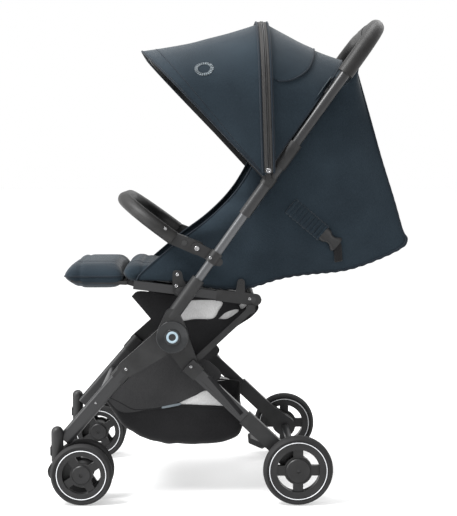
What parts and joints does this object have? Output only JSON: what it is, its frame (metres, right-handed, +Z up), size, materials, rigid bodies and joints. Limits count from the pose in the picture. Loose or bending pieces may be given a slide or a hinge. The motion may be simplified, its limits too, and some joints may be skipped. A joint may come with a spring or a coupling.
{
  "type": "baby stroller",
  "caption": "Folding baby stroller with reclining seat, sun canopy, bumper bar, storage basket, twin-wheel front casters and telescoping handle.",
  "frame": {"origin": "on the floor, at the middle of the bottom of the box round the whole stroller as it stands open", "axes": "+Z up, -Y to the front of the stroller, +X to its left side"},
  "size_m": [0.496, 0.7606, 1.0163],
  "materials": {
    "dark_tube": "satin",
    "bright_tube": "satin",
    "dark_plastic": "satin",
    "tyre": "satin",
    "wheel_plastic": "satin",
    "pin_steel": "satin",
    "grip": "satin",
    "grey_button": "satin",
    "hub_cap": "gloss",
    "navy_fabric": "matte",
    "black_fabric": "matte"
  },
  "bodies": {
    "rear_frame": {"rear_legs": "dark_tube", "rear_arms": "dark_plastic", "rear_wheel_sockets": "dark_plastic", "rear_axle_bar": "dark_tube", "hub_pins": "pin_steel", "basket": "black_fabric"},
    "brake": {"brake_pedal": "dark_plastic"},
    "front_frame": {"front_legs": "dark_tube", "front_arms": "dark_plastic", "front_cross_bar": "dark_tube", "caster_housings": "dark_plastic"},
    "main_frame": {"hub_housings": "dark_plastic", "lower_tubes": "bright_tube", "hub_caps": "hub_cap", "tube_collars": "bright_tube"},
    "seat_frame": {"seat_rails": "dark_tube", "seat_rail_ends": "dark_plastic", "seat_cross_rods": "dark_tube", "seat_pad": "navy_fabric", "harness_buckle": "dark_plastic"},
    "struts": {"seat_struts": "dark_plastic"},
    "calf_rest": {"calf_rest_frame": "dark_plastic", "calf_pad": "navy_fabric"},
    "backrest": {"backrest_frame": "dark_plastic", "back_pad": "navy_fabric", "harness_pads": "black_fabric"},
    "buckle_button": {"buckle_button": "dark_plastic"},
    "upper_handle": {"outer_tubes": "dark_tube", "handle_bar": "bright_tube", "handle_grips": "grip", "handle_release_cover": "dark_plastic", "tube_connectors": "dark_plastic", "canopy_pivots": "dark_plastic", "canopy_shell": "navy_fabric", "seat_shell": "navy_fabric"},
    "release_button": {"handle_release_button": "grey_button"},
    "canopy_front": {"canopy_front_bow": "dark_plastic"},
    "canopy_middle": {"canopy_middle_bow": "dark_plastic"},
    "bumper_adaptors": {"bumper_adaptors": "dark_plastic"},
    "bumper": {"bumper_bar": "grip"},
    "bumper_button_left": {"bumper_button_left": "grey_button"},
    "bumper_button_right": {"bumper_button_right": "grey_button"},
    "rear_left_wheel": {"rear_left_tyre": "tyre", "rear_left_rim": "wheel_plastic"},
    "caster_left": {"caster_fork_left": "dark_plastic"},
    "swivel_lock_left": {"swivel_lock_left": "dark_plastic"},
    "front_left_outer_wheel": {"front_left_outer_tyre": "tyre", "front_left_outer_rim": "wheel_plastic"},
    "front_left_inner_wheel": {"front_left_inner_tyre": "tyre", "front_left_inner_rim": "wheel_plastic"},
    "rear_right_wheel": {"rear_right_tyre": "tyre", "rear_right_rim": "wheel_plastic"},
    "caster_right": {"caster_fork_right": "dark_plastic"},
    "swivel_lock_right": {"swivel_lock_right": "dark_plastic"},
    "front_right_outer_wheel": {"front_right_outer_tyre": "tyre", "front_right_outer_rim": "wheel_plastic"},
    "front_right_inner_wheel": {"front_right_inner_tyre": "tyre", "front_right_inner_rim": "wheel_plastic"}
  },
  "joints": [
    {"name": "fold", "type": "hinge", "parent": "rear_frame", "child": "main_frame", "pos_m": [0, -0.11683, 0.354], "axis": [-1, 0, 0], "range_deg": [0, 84], "deforming": ["basket", "seat_shell"]},
    {"name": "front_leg_fold", "type": "hinge", "parent": "rear_frame", "child": "front_frame", "pos_m": [0, -0.11683, 0.354], "axis": [1, 0, 0], "range_deg": [0, 50.01], "deforming": ["basket"]},
    {"name": "seat_fold", "type": "hinge", "parent": "main_frame", "child": "seat_frame", "pos_m": [0, -0.10183, 0.446], "axis": [1, 0, 0], "range_deg": [0, 55.01], "deforming": ["seat_shell"]},
    {"name": "strut_fold", "type": "hinge", "parent": "rear_frame", "child": "struts", "pos_m": [0, -0.07983, 0.288], "axis": [-1, 0, 0], "range_deg": [0, 58.41]},
    {"name": "bumper_fold", "type": "hinge", "parent": "main_frame", "child": "bumper_adaptors", "pos_m": [0, -0.06533, 0.537], "axis": [1, 0, 0], "range_deg": [0, 58.81]},
    {"name": "handle_slide", "type": "slide", "parent": "main_frame", "child": "upper_handle", "axis": [0, -0.5807, -0.8141], "range_m": [0, 0.09], "deforming": ["seat_shell"]},
    {"name": "handle_release", "type": "slide", "parent": "upper_handle", "child": "release_button", "axis": [0, 0.5807, 0.8141], "range_m": [0, 0.004], "stiffness_N_per_m": 900},
    {"name": "canopy_close", "type": "hinge", "parent": "upper_handle", "child": "canopy_middle", "pos_m": [0, 0.08226, 0.67671], "axis": [-1, 0, 0], "range_deg": [0, 27], "deforming": ["canopy_shell"]},
    {"name": "canopy_front_close", "type": "hinge", "parent": "canopy_middle", "child": "canopy_front", "pos_m": [0, 0.08226, 0.67671], "axis": [-1, 0, 0], "range_deg": [0, 33.01], "deforming": ["canopy_shell"]},
    {"name": "bumper_pull_off", "type": "slide", "parent": "bumper_adaptors", "child": "bumper", "axis": [0, -0.8028, 0.5962], "range_m": [0, 0.03]},
    {"name": "bumper_release_left", "type": "slide", "parent": "bumper_adaptors", "child": "bumper_button_left", "axis": [-1, 0, 0], "range_m": [0, 0.002], "stiffness_N_per_m": 600},
    {"name": "bumper_release_right", "type": "slide", "parent": "bumper_adaptors", "child": "bumper_button_right", "axis": [1, 0, 0], "range_m": [0, 0.002], "stiffness_N_per_m": 600},
    {"name": "recline", "type": "hinge", "parent": "seat_frame", "child": "backrest", "pos_m": [0, 0.02717, 0.462], "axis": [1, 0, 0], "range_deg": [0, 50], "deforming": ["seat_shell"]},
    {"name": "calf_rest_tilt", "type": "hinge", "parent": "seat_frame", "child": "calf_rest", "pos_m": [0, -0.1909, 0.45688], "axis": [1, 0, 0], "range_deg": [0, 70]},
    {"name": "buckle_release", "type": "slide", "parent": "seat_frame", "child": "buckle_button", "axis": [0, -0.1249, -0.9922], "range_m": [0, 0.0018], "stiffness_N_per_m": 600},
    {"name": "brake_press", "type": "hinge", "parent": "rear_frame", "child": "brake", "pos_m": [0, 0.14517, 0.0735], "axis": [1, 0, 0], "range_deg": [0, 14]},
    {"name": "rear_left_spin", "type": "hinge", "parent": "rear_frame", "child": "rear_left_wheel", "pos_m": [0.235, 0.14517, 0.0735], "axis": [1, 0, 0], "continuous": true},
    {"name": "caster_left_swivel", "type": "hinge", "parent": "front_frame", "child": "caster_left", "pos_m": [0.205, -0.36033, 0.12], "axis": [0, 0, 1], "continuous": true},
    {"name": "swivel_lock_left_flip", "type": "hinge", "parent": "front_frame", "child": "swivel_lock_left", "pos_m": [0.205, -0.37473, 0.116], "axis": [-1, 0, 0], "range_deg": [0, 30]},
    {"name": "front_left_outer_spin", "type": "hinge", "parent": "caster_left", "child": "front_left_outer_wheel", "pos_m": [0.231, -0.30783, 0.065], "axis": [1, 0, 0], "continuous": true},
    {"name": "front_left_inner_spin", "type": "hinge", "parent": "caster_left", "child": "front_left_inner_wheel", "pos_m": [0.179, -0.30783, 0.065], "axis": [1, 0, 0], "continuous": true},
    {"name": "rear_right_spin", "type": "hinge", "parent": "rear_frame", "child": "rear_right_wheel", "pos_m": [-0.235, 0.14517, 0.0735], "axis": [1, 0, 0], "continuous": true},
    {"name": "caster_right_swivel", "type": "hinge", "parent": "front_frame", "child": "caster_right", "pos_m": [-0.205, -0.36033, 0.12], "axis": [0, 0, 1], "continuous": true},
    {"name": "swivel_lock_right_flip", "type": "hinge", "parent": "front_frame", "child": "swivel_lock_right", "pos_m": [-0.205, -0.37473, 0.116], "axis": [-1, 0, 0], "range_deg": [0, 30]},
    {"name": "front_right_outer_spin", "type": "hinge", "parent": "caster_right", "child": "front_right_outer_wheel", "pos_m": [-0.231, -0.30783, 0.065], "axis": [1, 0, 0], "continuous": true},
    {"name": "front_right_inner_spin", "type": "hinge", "parent": "caster_right", "child": "front_right_inner_wheel", "pos_m": [-0.179, -0.30783, 0.065], "axis": [1, 0, 0], "continuous": true}
  ],
  "couplings": [
    {"joint": "front_leg_fold", "follows": "fold", "ratio": 0.59524},
    {"joint": "seat_fold", "follows": "fold", "ratio": 0.65476},
    {"joint": "strut_fold", "follows": "fold", "ratio": 0.69524},
    {"joint": "bumper_fold", "follows": "fold", "ratio": 0.7},
    {"joint": "canopy_front_close", "follows": "canopy_close", "ratio": 1.2222}
  ]
}
